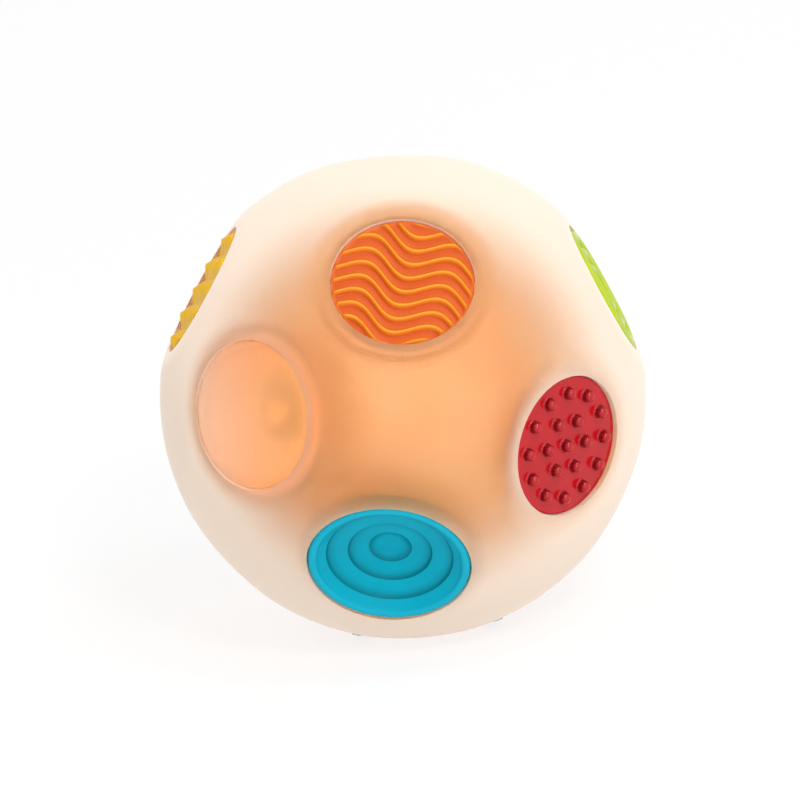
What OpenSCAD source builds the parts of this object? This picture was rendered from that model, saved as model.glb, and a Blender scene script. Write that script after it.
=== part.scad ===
// Light-up sensory ball: a translucent faceted body with soft textured pads let into its
// facets, a dished push button in one facet, and a light core that stands on the base cap.
// The ball stands on its lower facet. The origin is the middle of that facet.

/* [Ball] */
// Diameter of the ball over its round parts
ball_d = 120; // [112:1:140]
// Wall of the body
shell_wall = 2.6; // [2:0.1:3.4]
// How far a facet lies below the round of the ball
facet_depth = 3.8; // [3.2:0.1:4.6]
// Radius of the soft edge between a facet and the round
edge_round = 14; // [8:1:16]

/* [Pads] */
// Radius of a textured pad
pad_r = 17.2; // [14:0.1:18]
// Thickness of a pad's base
pad_t = 3.2; // [2.4:0.1:4]
// How far a pad's base lies below its facet
pad_drop = 1; // [0.6:0.1:1.6]
// Wall of the cup behind a pad
cup_wall = 2; // [1.6:0.1:2.6]
// Radius of the spigot that holds a pad in its cup
spigot_r = 3.5; // [2.5:0.1:5]

/* [Wave pad] */
// Distance from ridge to ridge
wave_pitch = 3.83; // [3.2:0.01:5]
// Length of one wave
wave_length = 19.8; // [14:0.1:26]
// Height of a wave above its middle line
wave_rise = 2.4; // [1:0.1:3.2]
// Width of a ridge
wave_ridge_w = 1.1; // [0.8:0.1:1.8]
// Height of a ridge above the base
wave_ridge_h = 1; // [0.6:0.1:1.6]
// Slope of the middle line, falling to the right
wave_slope = 16; // [0:1:25]

/* [Bowl pad] */
// Radius of the stepped bowl over its rim
bowl_r = 19.8; // [17:0.1:20.4]
// Width of the rounded rim
bowl_rim_w = 2.4; // [1.6:0.1:3]
// Radius of the upper step's lip
bowl_upper_r = 15.4; // [14.6:0.1:16]
// Radius of the middle step's lip
bowl_middle_r = 10.2; // [9:0.1:11]
// Radius of the lower step's lip
bowl_lower_r = 5.2; // [4.4:0.1:6]
// Depth of the bowl at the upper lip
bowl_depth = 2.7; // [2.2:0.1:3]
// Fall from lip to lip
bowl_fall = 1.6; // [1.3:0.1:1.8]
// Drop at each step
bowl_step_drop = 0.9; // [0.5:0.1:1.1]
// Thickness of the bowl under its dimple
bowl_floor = 1.6; // [1.2:0.1:2.4]

/* [Nub pad] */
// Radius of a nub
nub_r = 1.45; // [1:0.05:2]
// Height of a nub's straight part
nub_h = 1; // [0.5:0.1:2]
// Distance from the outer nubs to the pad's edge
nub_edge = 2.65; // [1:0.05:4]

/* [Pyramid pad] */
// Distance from pyramid to pyramid
pyramid_pitch = 6.8; // [5:0.1:8.5]
// Height of a pyramid
pyramid_h = 2; // [1:0.1:2.6]

/* [Ring pad] */
// Distance from the outer ridge to the pad's edge
ring_edge = 1.1; // [0.6:0.1:2]
// Distance from ridge to ridge
ring_pitch = 4.6; // [4:0.1:4.8]
// Radius of a ridge's section
ring_section_r = 1.5; // [1:0.1:1.9]

/* [Button] */
// Radius of the button
button_r = 17.8; // [15:0.1:17.9]
// Depth of the dish in the button's face
dish_depth = 4; // [2:0.1:4.6]
// Wall of the button's dish
button_wall = 2; // [1.6:0.1:2.6]
// Travel of the button
button_travel = 1.5; // [1:0.1:2]
// Radius of the post that presses the switch
post_r = 3; // [2:0.1:3.6]
// Width of the switch
switch_w = 6; // [5:0.1:7]
// Height of the switch
switch_h = 3.5; // [3:0.1:5]

/* [Base] */
// Radius of the base cap
cap_r = 27; // [26.5:0.1:28]
// Height of the cap above the rest face, at the joint
cap_h = 5.2; // [4.8:0.1:6]
// Radius of the battery door
door_r = 16; // [15.6:0.1:16.4]
// Thickness of the battery door
door_t = 2.5; // [2:0.1:2.7]
// How far the door lies above the rest face
door_inset = 0.4; // [0.2:0.1:0.8]

/* [Cells] */
// Radius of a cell
cell_r = 5.25; // [5:0.05:5.4]
// Length of a cell over its tip
cell_l = 44.5; // [42:0.1:46]
// Distance of each cell from the middle
cell_ring_r = 8.5; // [8.3:0.1:8.8]

/* [Light core] */
// Radius of the circuit board
board_r = 15; // [14:0.1:15.2]
// Thickness of the circuit board
board_t = 1.6; // [1:0.1:2]
// Wall of the diffuser
diffuser_wall = 1.6; // [1.2:0.1:2]
// Distance of each light diode from the middle
diode_ring_r = 9.5; // [7:0.1:10.5]
// Width of a light diode
diode_w = 5; // [3:0.1:5.4]

/* [Clearances] */
// Gap round pieces that move
run_gap = 0.3; // [0.2:0.05:0.4]
// Gap round pieces that are seated
seat_gap = 0.2; // [0.1:0.05:0.3]
// Gap of a pin that turns or slides in its hole
pin_gap = 0.06; // [0.03:0.01:0.1]
// Gap between flat faces that part when a piece moves
face_gap = 0.05; // [0.02:0.01:0.1]

/* [Hidden] */
$fn = 96;
cut_over = 1;

// Ball and facets, from the ball's middle
ball_r = ball_d / 2;
inner_r = ball_r - shell_wall;
facet_z = ball_r - facet_depth;
edge_mid_r = sqrt(pow(ball_r - edge_round, 2) - pow(facet_z - edge_round, 2));
edge_angle = atan2(edge_mid_r, facet_z - edge_round);
edge_steps = 6;
pocket_r = pad_r + seat_gap;
pad_top_z = facet_z - pad_drop;
pocket_z = pad_top_z - pad_t;
dimple_depth = bowl_depth + 2 * bowl_fall + 2 * bowl_step_drop;
bowl_pocket_z = facet_z - dimple_depth - bowl_floor;
bowl_pocket_r = bowl_r + seat_gap;
plain_dish_r = 16;
plain_dish_depth = 1.4;
spigot_l = cup_wall + cut_over;
nub_ring_r = pad_r - nub_edge - nub_r;
ring_ridge_r = pad_r - ring_edge - ring_section_r;

// Button, along its facet's axis from the ball's middle
button_inset = 0.4;
button_top_z = facet_z - button_inset;
button_rim_w = 1.7;
dish_edge_r = button_r - button_rim_w;
dish_ball_r = (pow(dish_edge_r, 2) + pow(dish_depth, 2)) / (2 * dish_depth);
dish_ball_z = button_top_z - dish_depth + dish_ball_r;
button_under_z = button_top_z - dish_depth - button_wall;
button_bore_r = button_r + run_gap;
lip_w = 1.7;
lip_t = 1.9;
sleeve_r = button_r + lip_w + run_gap;
ledge_z = facet_z - shell_wall - face_gap;
lip_top_z = ledge_z - face_gap;
post_l = 2;
post_end_z = button_under_z - post_l;
plunger_travel_share = 0.3;
plunger_travel = button_travel * plunger_travel_share;
plunger_r = 1.7;
plunger_h = 1.2;
plunger_top_z = post_end_z - button_travel + plunger_travel - face_gap;
switch_top_z = plunger_top_z - plunger_h;
switch_z = switch_top_z - switch_h;
switch_board_w = 14;
switch_board_t = 1.2;
carrier_t = 2;
carrier_top_z = switch_z - switch_board_t;
carrier_z = carrier_top_z - carrier_t;
lead_hole_r = 3;
snap_w = 0.4;
snap_t = 0.8;
snap_z = carrier_z + (carrier_t - snap_t) / 2;

// Base, from the ball's middle
cap_top_z = -facet_z + cap_h;
door_face_z = -facet_z + door_inset;
door_seat_z = door_face_z + door_t + face_gap;
cell_bore_r = cell_r + run_gap;
well_r = cell_ring_r + cell_bore_r + seat_gap;
plate_t = 0.4;
door_plate_z = door_seat_z - face_gap + plate_t;
contact_h = 3.6;
cell_z = door_plate_z + contact_h;
cell_end_z = cell_z + cell_l;
holder_wall = 1.2;
holder_r = cell_ring_r + cell_bore_r + holder_wall;
holder_top_t = 2;
holder_top_z = cell_end_z + plate_t + holder_top_t;
foot_w = 4;
foot_r = holder_r + foot_w;
foot_t = 1.6;
flange_t = 3.5;
flange_top_z = cap_top_z + flange_t;
pass_gap = 1;
flange_bore_r = board_r + diffuser_wall + pass_gap;
boss_r = 3;
screw_r = 1.3;
screw_l = 9;
screw_head_r = 2.5;
screw_head_t = 1.8;
screw_ring_r = cap_r - screw_head_r - run_gap - holder_wall;
head_floor = 1.9;
screw_head_z = cap_top_z - head_floor;
tip_room = 0.5;
screw_hole_z = screw_head_z + screw_l + tip_room;
screw_turns_deg = [45, 135, 225, 315];
slot_w = 0.7;
slot_depth = 0.8;
seal_w = 1.4;
seal_t = 1.2;
seal_r = foot_r + seat_gap;

// Places of the facets: azimuth, elevation and turn of the pad
base_edge_deg = atan2(cap_r + seat_gap, -cap_top_z);
bowl_edge_deg = atan2(bowl_pocket_r, bowl_pocket_z);
rear_bowl_low_deg = base_edge_deg + bowl_edge_deg - 90;
rear_nub_rise_deg = 44;
rear_wave_rise_deg = 36;
wave_place_deg = [-86, 46, 82];
bowl_place_deg = [-99, -29, 0];
nub_place_deg = [-47, -4.5, 23];
pyramid_place_deg = [177, 34.5, 20];
ring_place_deg = [1, 23, 0];
button_place_deg = [-132, 12, 0];
rear_bowl_place_deg = [98, rear_bowl_low_deg, 0];
rear_nub_place_deg = [128, rear_bowl_low_deg + rear_nub_rise_deg, 10];
rear_wave_place_deg = [60, rear_bowl_low_deg + rear_wave_rise_deg, 20];
plain_places_deg = [[85, 62, 0], [175, -40, 0], [6, -34, 0]];
base_place_deg = [0, -90, 0];
pad_places_deg = [wave_place_deg, nub_place_deg, pyramid_place_deg, ring_place_deg, rear_wave_place_deg,
    rear_nub_place_deg];
bowl_places_deg = [bowl_place_deg, rear_bowl_place_deg];
facet_places_deg = concat(pad_places_deg, bowl_places_deg, plain_places_deg,
    [button_place_deg, base_place_deg]);

// Contacts of the cells: the strip rises between the first cell and the third
cell_turns_deg = [30, 150, 270];
contact_r = 4;
contact_bar_w = 4;
contact_wire_r = 0.35;
contact_coil_r = 3.2;
contact_turns = 3;
strip_bar_w = 2;
tip_r = 1.9;
tip_h = 1;
tab_w = 2;
strip_w = 4;
strip_t = 0.4;
strip_turn_deg = 330;
strip_out = 3;
strip_ring_r = cell_ring_r + strip_out;

// Light core, from the ball's middle
board_z = holder_top_z;
board_top_z = board_z + board_t;
diode_h = 1.6;
diode_lens_share = 0.36;
diode_turns_deg = [0, 90, 180, 270];
diffuser_gap = 0.6;
diffuser_in_r = board_r + diffuser_gap;
diffuser_r = diffuser_in_r + diffuser_wall;
plug_r = diffuser_in_r - seat_gap;
diffuser_lap = 4;
diffuser_seat_z = holder_top_z - diffuser_lap;
diffuser_ball_z = board_top_z;
socket_w = 5;
socket_l = 4;
socket_h = 4.6;
socket_ring_r = 11.5;

// Leads from the socket to the switch, as distance from the upright axis and height
lead_r = 0.6;
lead_side = 0.9;
lead_turn_deg = button_place_deg[0];
lead_z = board_top_z + socket_h / 2;
lead_start = [socket_ring_r + socket_l / 2 + face_gap, lead_z];
lead_end_l = carrier_top_z - face_gap;
lead_end = [lead_end_l * cos(button_place_deg[1]), lead_end_l * sin(button_place_deg[1])];
lead_shares = [[0, 0], [0.09, 0], [0.2, 0], [0.32, 0.06], [0.44, 0.24], [0.55, 0.47], [0.66, 0.65],
    [0.78, 0.79], [0.89, 0.91], [1, 1]];
lead_points = [for (share = lead_shares)
    [for (i = [0, 1]) lead_start[i] + share[i] * (lead_end[i] - lead_start[i])]];

// Frames: the ball's middle above the rest face, and a facet with its axis along Z
module ball_frame() {
    translate([0, 0, facet_z]) children();
}

module facet_frame(place) {
    rotate([0, 90 - place[1], place[0]]) rotate([0, 0, place[2]]) children();
}

module ring_of(turns, r) {
    for (turn = turns) rotate([0, 0, turn]) translate([r, 0, 0]) children();
}

// What a facet takes off the ball: everything over the flat and over its soft edge
module facet_cutter() {
    far_r = ball_r + facet_depth;
    edge = [for (i = [0:edge_steps])
        let(a = edge_angle * i / edge_steps)
        [edge_mid_r + edge_round * sin(a), facet_z - edge_round + edge_round * cos(a)]];
    far = [[far_r * sin(edge_angle), far_r * cos(edge_angle)], [0, far_r]];
    rotate_extrude() polygon(concat([[0, facet_z]], edge, far));
}

module disc(r, low_z, high_z) {
    translate([0, 0, low_z]) cylinder(r = r, h = high_z - low_z);
}

module ball_form(places) {
    difference() {
        sphere(r = ball_r);
        for (place = places) facet_frame(place) facet_cutter();
    }
}

// Faces of a tube whose rings of points follow each other, with flat ends
function tube_faces(steps, sides) = concat(
    [for (i = [0:steps - 1]) for (k = [0:sides - 1])
        let(n = (k + 1) % sides, a = i * sides, b = a + sides)
        each [[a + k, b + n, a + n], [a + k, b + k, b + n]]],
    [for (k = [1:sides - 2])
        let(b = steps * sides)
        each [[0, k, k + 1], [b, b + k + 1, b + k]]]);

// A round wire wound into a coil that stands on the XY plane
module helix(r, wire_r, turns, height) {
    sides = 6;
    steps_per_turn = 8;
    steps = steps_per_turn * turns;
    rise = height - 2 * wire_r;
    pitch_angle = atan2(rise, 2 * PI * r * turns);
    points = [for (i = [0:steps]) for (k = [0:sides - 1])
        let(a = 360 * turns * i / steps,
            b = 360 * k / sides,
            out = wire_r * cos(b),
            lift = wire_r * sin(b))
        [(r + out) * cos(a) + lift * sin(pitch_angle) * sin(a),
         (r + out) * sin(a) - lift * sin(pitch_angle) * cos(a),
         wire_r + rise * i / steps + lift * cos(pitch_angle)]];
    polyhedron(points = points, faces = tube_faces(steps, sides));
}

// A round wire along a route in the XZ plane
module wire(route, wire_r) {
    sides = 8;
    last = len(route) - 1;
    points = [for (i = [0:last]) for (k = [0:sides - 1])
        let(ahead = route[min(i + 1, last)] - route[max(i - 1, 0)],
            t = ahead / norm(ahead),
            b = 360 * k / sides)
        [route[i][0] - wire_r * cos(b) * t[1], wire_r * sin(b), route[i][1] + wire_r * cos(b) * t[0]]];
    polyhedron(points = points, faces = tube_faces(last, sides));
}

// Body

module pad_cup(r, floor_z) {
    disc(r + cup_wall, floor_z - cup_wall, ball_r);
}

module pad_pocket(r, floor_z) {
    disc(r, floor_z, ball_r + cut_over);
    disc(spigot_r + seat_gap, floor_z - cup_wall - cut_over, floor_z + cut_over);
}

module plain_dish() {
    dish_r = (pow(plain_dish_r, 2) + pow(plain_dish_depth, 2)) / (2 * plain_dish_depth);
    translate([0, 0, facet_z - plain_dish_depth + dish_r]) sphere(r = dish_r);
}

module shell_hollow() {
    difference() {
        sphere(r = inner_r);
        for (place = pad_places_deg) facet_frame(place) pad_cup(pocket_r, pocket_z);
        for (place = bowl_places_deg) facet_frame(place) pad_cup(bowl_pocket_r, bowl_pocket_z);
        for (place = plain_places_deg) facet_frame(place)
            pad_cup(plain_dish_r + cup_wall, facet_z - plain_dish_depth);
        facet_frame(button_place_deg) disc(sleeve_r + cup_wall, carrier_z, ball_r);
        disc(cap_r + seat_gap + cup_wall, -ball_r, flange_top_z);
        ring_of(screw_turns_deg, screw_ring_r) disc(boss_r, flange_top_z - cut_over, screw_hole_z + cup_wall);
    }
}

module body_shell() {
    color("oldlace") ball_frame() difference() {
        ball_form(facet_places_deg);
        shell_hollow();
        for (place = pad_places_deg) facet_frame(place) pad_pocket(pocket_r, pocket_z);
        for (place = bowl_places_deg) facet_frame(place) pad_pocket(bowl_pocket_r, bowl_pocket_z);
        for (place = plain_places_deg) facet_frame(place) plain_dish();
        facet_frame(button_place_deg) {
            disc(button_bore_r, ledge_z - cut_over, ball_r);
            disc(sleeve_r, carrier_z - cut_over, ledge_z);
            disc(sleeve_r + snap_w + seat_gap, snap_z - face_gap, snap_z + snap_t + face_gap);
        }
        disc(cap_r + seat_gap, -ball_r, cap_top_z);
        disc(foot_r + seat_gap, cap_top_z - cut_over, cap_top_z + foot_t);
        disc(flange_bore_r, cap_top_z, flange_top_z + cut_over);
        ring_of(screw_turns_deg, screw_ring_r)
            disc(screw_r + pin_gap, cap_top_z - cut_over, screw_hole_z);
    }
}

// Base

module base_cap() {
    color("oldlace") ball_frame() difference() {
        intersection() {
            ball_form([base_place_deg]);
            disc(cap_r, -ball_r, cap_top_z);
        }
        disc(door_r + run_gap, -ball_r, door_seat_z);
        disc(well_r, -ball_r, cap_top_z + cut_over);
        difference() {
            disc(seal_r + seal_w, cap_top_z - seal_t, cap_top_z + cut_over);
            disc(seal_r, cap_top_z - seal_t - cut_over, cap_top_z + cut_over);
        }
        ring_of(screw_turns_deg, screw_ring_r) {
            disc(screw_head_r + run_gap, -ball_r, screw_head_z);
            disc(screw_r + seat_gap, -ball_r, cap_top_z + cut_over);
        }
    }
}

module seal_ring() {
    color("dimgray") ball_frame() difference() {
        disc(seal_r + seal_w, cap_top_z - seal_t, cap_top_z);
        disc(seal_r, cap_top_z - seal_t - cut_over, cap_top_z + cut_over);
    }
}

// A screw that points up, with the underside of its head at Z = 0 and a cross slot below
module screw(r, head_r, head_t, length) {
    difference() {
        union() {
            disc(head_r, -head_t, 0);
            disc(r, -head_t / 2, length);
        }
        for (turn = [0, 90]) rotate([0, 0, turn])
            translate([-head_r, -slot_w / 2, -head_t - slot_depth])
                cube([2 * head_r, slot_w, 2 * slot_depth]);
    }
}

module base_screws() {
    color("silver") ball_frame() ring_of(screw_turns_deg, screw_ring_r) translate([0, 0, screw_head_z])
        screw(screw_r, screw_head_r, screw_head_t, screw_l);
}

module door_spigot() {
    low_z = door_face_z + door_t / 2;
    high_z = door_seat_z + foot_t;
    difference() {
        disc(well_r - run_gap, low_z, high_z);
        disc(well_r - run_gap - holder_wall, low_z - cut_over, high_z + cut_over);
    }
}

module battery_door() {
    head_room = screw_head_t + seat_gap;
    notch_w = 2 * screw_head_r;
    color("oldlace") ball_frame() difference() {
        union() {
            disc(door_r, door_face_z, door_seat_z - face_gap);
            door_spigot();
        }
        disc(screw_head_r + run_gap, -ball_r, door_face_z + head_room);
        disc(screw_r + pin_gap, -ball_r, 0);
        translate([door_r, 0, door_face_z - cut_over])
            cylinder(r = notch_w / 2, h = door_t / 2 + cut_over);
    }
}

module door_screw() {
    color("silver") ball_frame() translate([0, 0, door_face_z + screw_head_t + seat_gap - face_gap])
        screw(screw_r, screw_head_r, screw_head_t, screw_l);
}

// A flat bar from the middle of one cell to the middle of the next
module cell_bridge(from, to, low_z) {
    a = cell_turns_deg[from];
    b = cell_turns_deg[to];
    span = 2 * cell_ring_r * sin((b - a) / 2);
    mid_r = cell_ring_r * cos((b - a) / 2);
    rotate([0, 0, (a + b) / 2]) translate([mid_r - contact_bar_w / 2, -span / 2, low_z])
        cube([contact_bar_w, span, plate_t]);
}

module contact_disc(index, low_z) {
    rotate([0, 0, cell_turns_deg[index]]) translate([cell_ring_r, 0, 0])
        disc(contact_r, low_z, low_z + plate_t);
}

// A flat bar from the middle of the third cell out to the foot of the strip
module strip_bar(low_z) {
    turn = cell_turns_deg[2];
    strip_mid_r = strip_ring_r + strip_t / 2;
    cell_mid = cell_ring_r * [cos(turn), sin(turn)];
    strip_mid = strip_mid_r * [cos(strip_turn_deg), sin(strip_turn_deg)];
    way = strip_mid - cell_mid;
    translate([cell_mid[0], cell_mid[1], low_z]) rotate([0, 0, atan2(way[1], way[0])])
        translate([0, -strip_bar_w / 2, 0]) cube([norm(way), strip_bar_w, plate_t]);
}

module door_contacts() {
    low_z = door_plate_z - plate_t;
    color("goldenrod") ball_frame() {
        union() {
            contact_disc(0, low_z);
            contact_disc(1, low_z);
            cell_bridge(0, 1, low_z);
        }
        union() {
            contact_disc(2, low_z);
            strip_bar(low_z);
        }
    }
}

module door_springs() {
    color("silver") ball_frame() ring_of(cell_turns_deg, cell_ring_r) translate([0, 0, door_plate_z])
        helix(contact_coil_r, contact_wire_r, contact_turns, contact_h - 2 * face_gap);
}

module cell_tubes(r, low_z, high_z) {
    ring_of(cell_turns_deg, cell_ring_r) disc(r, low_z, high_z);
}

// An upright slot for a tab or strip, square to the radius
module radial_bar(turn, r, width, thick, low_z, high_z) {
    rotate([0, 0, turn]) translate([r, -width / 2, low_z]) cube([thick, width, high_z - low_z]);
}

module contact_tab(index, gap) {
    radial_bar(cell_turns_deg[index], cell_ring_r - gap, tab_w + 2 * gap, plate_t + 2 * gap, cell_end_z,
        board_top_z + gap);
}

module return_bar(gap, low_z, high_z) {
    radial_bar(strip_turn_deg, strip_ring_r - gap, strip_w + 2 * gap, strip_t + 2 * gap, low_z, high_z);
}

module battery_holder() {
    rib_w = strip_w + 2 * holder_wall;
    color("whitesmoke") ball_frame() difference() {
        union() {
            cell_tubes(cell_bore_r + holder_wall, cap_top_z, holder_top_z);
            disc(cell_ring_r, cap_top_z, holder_top_z);
            disc(foot_r, cap_top_z, cap_top_z + foot_t);
            disc(diffuser_r, diffuser_seat_z - holder_top_t, diffuser_seat_z);
            disc(plug_r, diffuser_seat_z - holder_top_t, holder_top_z);
            radial_bar(strip_turn_deg, 0, rib_w, holder_r - strip_t, cap_top_z, holder_top_z);
        }
        cell_tubes(cell_bore_r, cap_top_z - cut_over, cell_end_z);
        for (i = [0:2]) contact_disc_pocket(i);
        contact_bridge_pocket();
        for (i = [0, 1]) contact_tab(i, seat_gap);
        return_bar(seat_gap, cap_top_z - cut_over, holder_top_z + cut_over);
        disc(screw_r + pin_gap, cap_top_z - cut_over, cap_top_z + screw_l + cut_over);
    }
}

module contact_disc_pocket(index) {
    rotate([0, 0, cell_turns_deg[index]]) translate([cell_ring_r, 0, 0])
        disc(contact_r + seat_gap, cell_end_z - cut_over, cell_end_z + plate_t);
}

module contact_bridge_pocket() {
    a = cell_turns_deg[1];
    b = cell_turns_deg[2];
    span = 2 * cell_ring_r * sin((b - a) / 2);
    mid_r = cell_ring_r * cos((b - a) / 2);
    rotate([0, 0, (a + b) / 2])
        translate([mid_r - contact_bar_w / 2 - seat_gap, -span / 2, cell_end_z - face_gap])
            cube([contact_bar_w + 2 * seat_gap, span, plate_t + face_gap]);
}

// A cell that stands with its tip up, or down when turned over
module battery_cell(index, tip_up) {
    low_z = tip_up ? cell_z : cell_z + tip_h;
    tip_z = tip_up ? cell_end_z - tip_h - cut_over : cell_z;
    color(tip_up ? "seagreen" : "olivedrab") ball_frame() rotate([0, 0, cell_turns_deg[index]])
        translate([cell_ring_r, 0, 0]) {
            disc(cell_r, low_z, low_z + cell_l - tip_h);
            disc(tip_r, tip_z, tip_z + tip_h + cut_over);
        }
}

module battery_cell_1() {
    battery_cell(0, true);
}

module battery_cell_2() {
    battery_cell(1, false);
}

module battery_cell_3() {
    battery_cell(2, true);
}

module top_contacts() {
    color("goldenrod") ball_frame() {
        union() {
            contact_disc(0, cell_end_z);
            contact_tab(0, 0);
        }
        union() {
            contact_disc(1, cell_end_z);
            contact_disc(2, cell_end_z);
            cell_bridge(1, 2, cell_end_z);
            contact_tab(1, 0);
        }
    }
}

module return_strip() {
    color("goldenrod") ball_frame() return_bar(0, door_plate_z + face_gap, board_top_z);
}

// Light core

module light_board() {
    color("seagreen") ball_frame() difference() {
        disc(board_r, board_z, board_top_z);
        for (i = [0, 1]) contact_tab(i, seat_gap);
        return_bar(seat_gap, board_z - cut_over, board_top_z + cut_over);
    }
}

module light_diode() {
    difference() {
        translate([-diode_w / 2, -diode_w / 2, 0]) cube([diode_w, diode_w, diode_h]);
        translate([0, 0, diode_h]) sphere(r = diode_w * diode_lens_share / 2);
    }
}

module light_diodes() {
    color("ivory") ball_frame() ring_of(diode_turns_deg, diode_ring_r)
        translate([0, 0, board_top_z]) light_diode();
}

module lead_socket() {
    color("white") ball_frame() rotate([0, 0, lead_turn_deg])
        translate([socket_ring_r - socket_l / 2, -socket_w / 2, board_top_z])
            cube([socket_l, socket_w, socket_h]);
}

module diffuser_form(r, low_z) {
    disc(r, low_z, diffuser_ball_z);
    intersection() {
        translate([0, 0, diffuser_ball_z]) sphere(r = r);
        disc(r + cut_over, diffuser_ball_z, diffuser_ball_z + r + cut_over);
    }
}

module light_diffuser() {
    hole_r = lead_side + lead_r + run_gap;
    color("white") ball_frame() difference() {
        diffuser_form(diffuser_r, diffuser_seat_z);
        diffuser_form(diffuser_in_r, diffuser_seat_z - cut_over);
        rotate([0, 0, lead_turn_deg]) translate([0, 0, lead_z]) rotate([0, 90, 0])
            cylinder(r = hole_r, h = diffuser_r + cut_over);
    }
}

// Button

module button_frame() {
    ball_frame() facet_frame(button_place_deg) children();
}

module button_dish(r) {
    translate([0, 0, dish_ball_z]) sphere(r = r);
}

module light_button() {
    color("oldlace") button_frame() difference() {
        union() {
            difference() {
                union() {
                    disc(button_r, button_under_z, button_top_z);
                    disc(button_r + lip_w, lip_top_z - lip_t, lip_top_z);
                }
                difference() {
                    disc(button_r - button_wall, button_under_z - cut_over, button_top_z);
                    button_dish(dish_ball_r + button_wall);
                }
            }
            disc(post_r, post_end_z, button_under_z + button_wall);
        }
        button_dish(dish_ball_r);
    }
}

module switch_carrier() {
    color("whitesmoke") button_frame() difference() {
        union() {
            disc(sleeve_r - seat_gap, carrier_z, carrier_top_z);
            disc(sleeve_r + snap_w, snap_z, snap_z + snap_t);
        }
        disc(lead_hole_r, carrier_z - cut_over, carrier_top_z + cut_over);
    }
}

module switch_board() {
    color("seagreen") button_frame() translate([-switch_board_w / 2, -switch_board_w / 2, carrier_top_z])
        cube([switch_board_w, switch_board_w, switch_board_t]);
}

module switch_housing() {
    well_z = switch_top_z - plunger_h - plunger_travel - face_gap;
    color("dimgray") button_frame() difference() {
        translate([-switch_w / 2, -switch_w / 2, switch_z]) cube([switch_w, switch_w, switch_h]);
        disc(plunger_r + pin_gap, well_z, switch_top_z + cut_over);
    }
}

module switch_plunger() {
    color("black") button_frame() disc(plunger_r, switch_top_z - plunger_h, plunger_top_z);
}

module switch_leads() {
    color("firebrick") ball_frame() rotate([0, 0, lead_turn_deg]) for (side = [-lead_side, lead_side])
        translate([0, side, 0]) wire(lead_points, lead_r);
}

// Pads

module pad_base(r, top_z) {
    disc(r, pocket_z, top_z);
    disc(spigot_r, pocket_z - spigot_l, pocket_z + cut_over);
}

function wave_y(x) = wave_rise * sin(360 * x / wave_length);

// One wavy ridge as a flat outline, along X
module wave_ridge() {
    reach = pad_r + wave_length / 4;
    steps = 32;
    xs = [for (i = [0:steps]) -reach + 2 * reach * i / steps];
    over = [for (x = xs) [x, wave_y(x) + wave_ridge_w / 2]];
    under = [for (i = [steps:-1:0]) [xs[i], wave_y(xs[i]) - wave_ridge_w / 2]];
    polygon(concat(over, under));
}

module wave_disc(place) {
    rows = ceil((pad_r + wave_rise) / wave_pitch);
    ridge_shift_share = 0.32;
    trough_shift_share = -0.16;
    facet_frame(place) {
        pad_base(pad_r, pad_top_z);
        translate([0, 0, pad_top_z - face_gap]) linear_extrude(wave_ridge_h + face_gap) intersection() {
            circle(r = pad_r - face_gap);
            rotate([0, 0, -wave_slope]) for (row = [-rows:rows])
                translate([row * wave_pitch * ridge_shift_share + wave_length * trough_shift_share,
                    row * wave_pitch]) wave_ridge();
        }
    }
}

module bowl_profile() {
    rim_r = bowl_rim_w / 2;
    lip = [bowl_upper_r, bowl_middle_r, bowl_lower_r];
    depth = [for (i = [0:2]) bowl_depth + i * bowl_fall];
    bowl_t = facet_z - bowl_pocket_z;
    difference() {
        union() {
            square([bowl_r - rim_r, bowl_t - rim_r]);
            translate([bowl_r - rim_r, 0]) square([rim_r, bowl_t - rim_r]);
            translate([bowl_r - rim_r, bowl_t - rim_r]) circle(r = rim_r);
        }
        polygon([[0, bowl_t + cut_over], [bowl_r - rim_r, bowl_t + cut_over], [bowl_r - rim_r, bowl_t],
            [bowl_r - bowl_rim_w, bowl_t - rim_r], [lip[0], bowl_t - depth[0]],
            [lip[0] - bowl_step_drop / 2, bowl_t - depth[0] - bowl_step_drop], [lip[1], bowl_t - depth[1]],
            [lip[1] - bowl_step_drop / 2, bowl_t - depth[1] - bowl_step_drop], [lip[2], bowl_t - depth[2]],
            [lip[2] / 2, bowl_t - dimple_depth], [0, bowl_t - dimple_depth]]);
    }
}

module bowl_disc(place) {
    facet_frame(place) {
        translate([0, 0, bowl_pocket_z]) rotate_extrude() bowl_profile();
        disc(spigot_r, bowl_pocket_z - spigot_l, bowl_pocket_z + cut_over);
    }
}

module nub() {
    disc(nub_r, pad_top_z - cut_over, pad_top_z + nub_h);
    translate([0, 0, pad_top_z + nub_h]) sphere(r = nub_r);
}

module nub_disc(place) {
    facet_frame(place) {
        pad_base(pad_r, pad_top_z);
        nub();
        for (ring = [0, 1]) {
            count = 6 * (ring + 1);
            ring_of([for (i = [0:count - 1]) 360 * i / count], nub_ring_r * (ring + 1) / 2) nub();
        }
    }
}

// Rows of roof-shaped ridges along Y, cut off at the pad's round edge
module roof_rows() {
    rows = ceil(pad_r / pyramid_pitch);
    reach = (rows + 1) * pyramid_pitch;
    teeth = [for (i = [-rows:rows]) each
        [[(i - 1 / 2) * pyramid_pitch, 0], [i * pyramid_pitch, pyramid_h]]];
    rotate([90, 0, 0]) translate([0, 0, -reach]) linear_extrude(2 * reach)
        polygon(concat([[-reach, -pad_t / 2], [-reach, 0]], teeth, [[reach, 0], [reach, -pad_t / 2]]));
}

module pyramid_pad() {
    color("gold") ball_frame() facet_frame(pyramid_place_deg) {
        pad_base(pad_r, pad_top_z);
        intersection() {
            translate([0, 0, pad_top_z]) roof_rows();
            translate([0, 0, pad_top_z]) rotate([0, 0, 90]) roof_rows();
            disc(pad_r - pad_drop, pad_top_z - pad_t / 4, ball_r);
        }
    }
}

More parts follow.
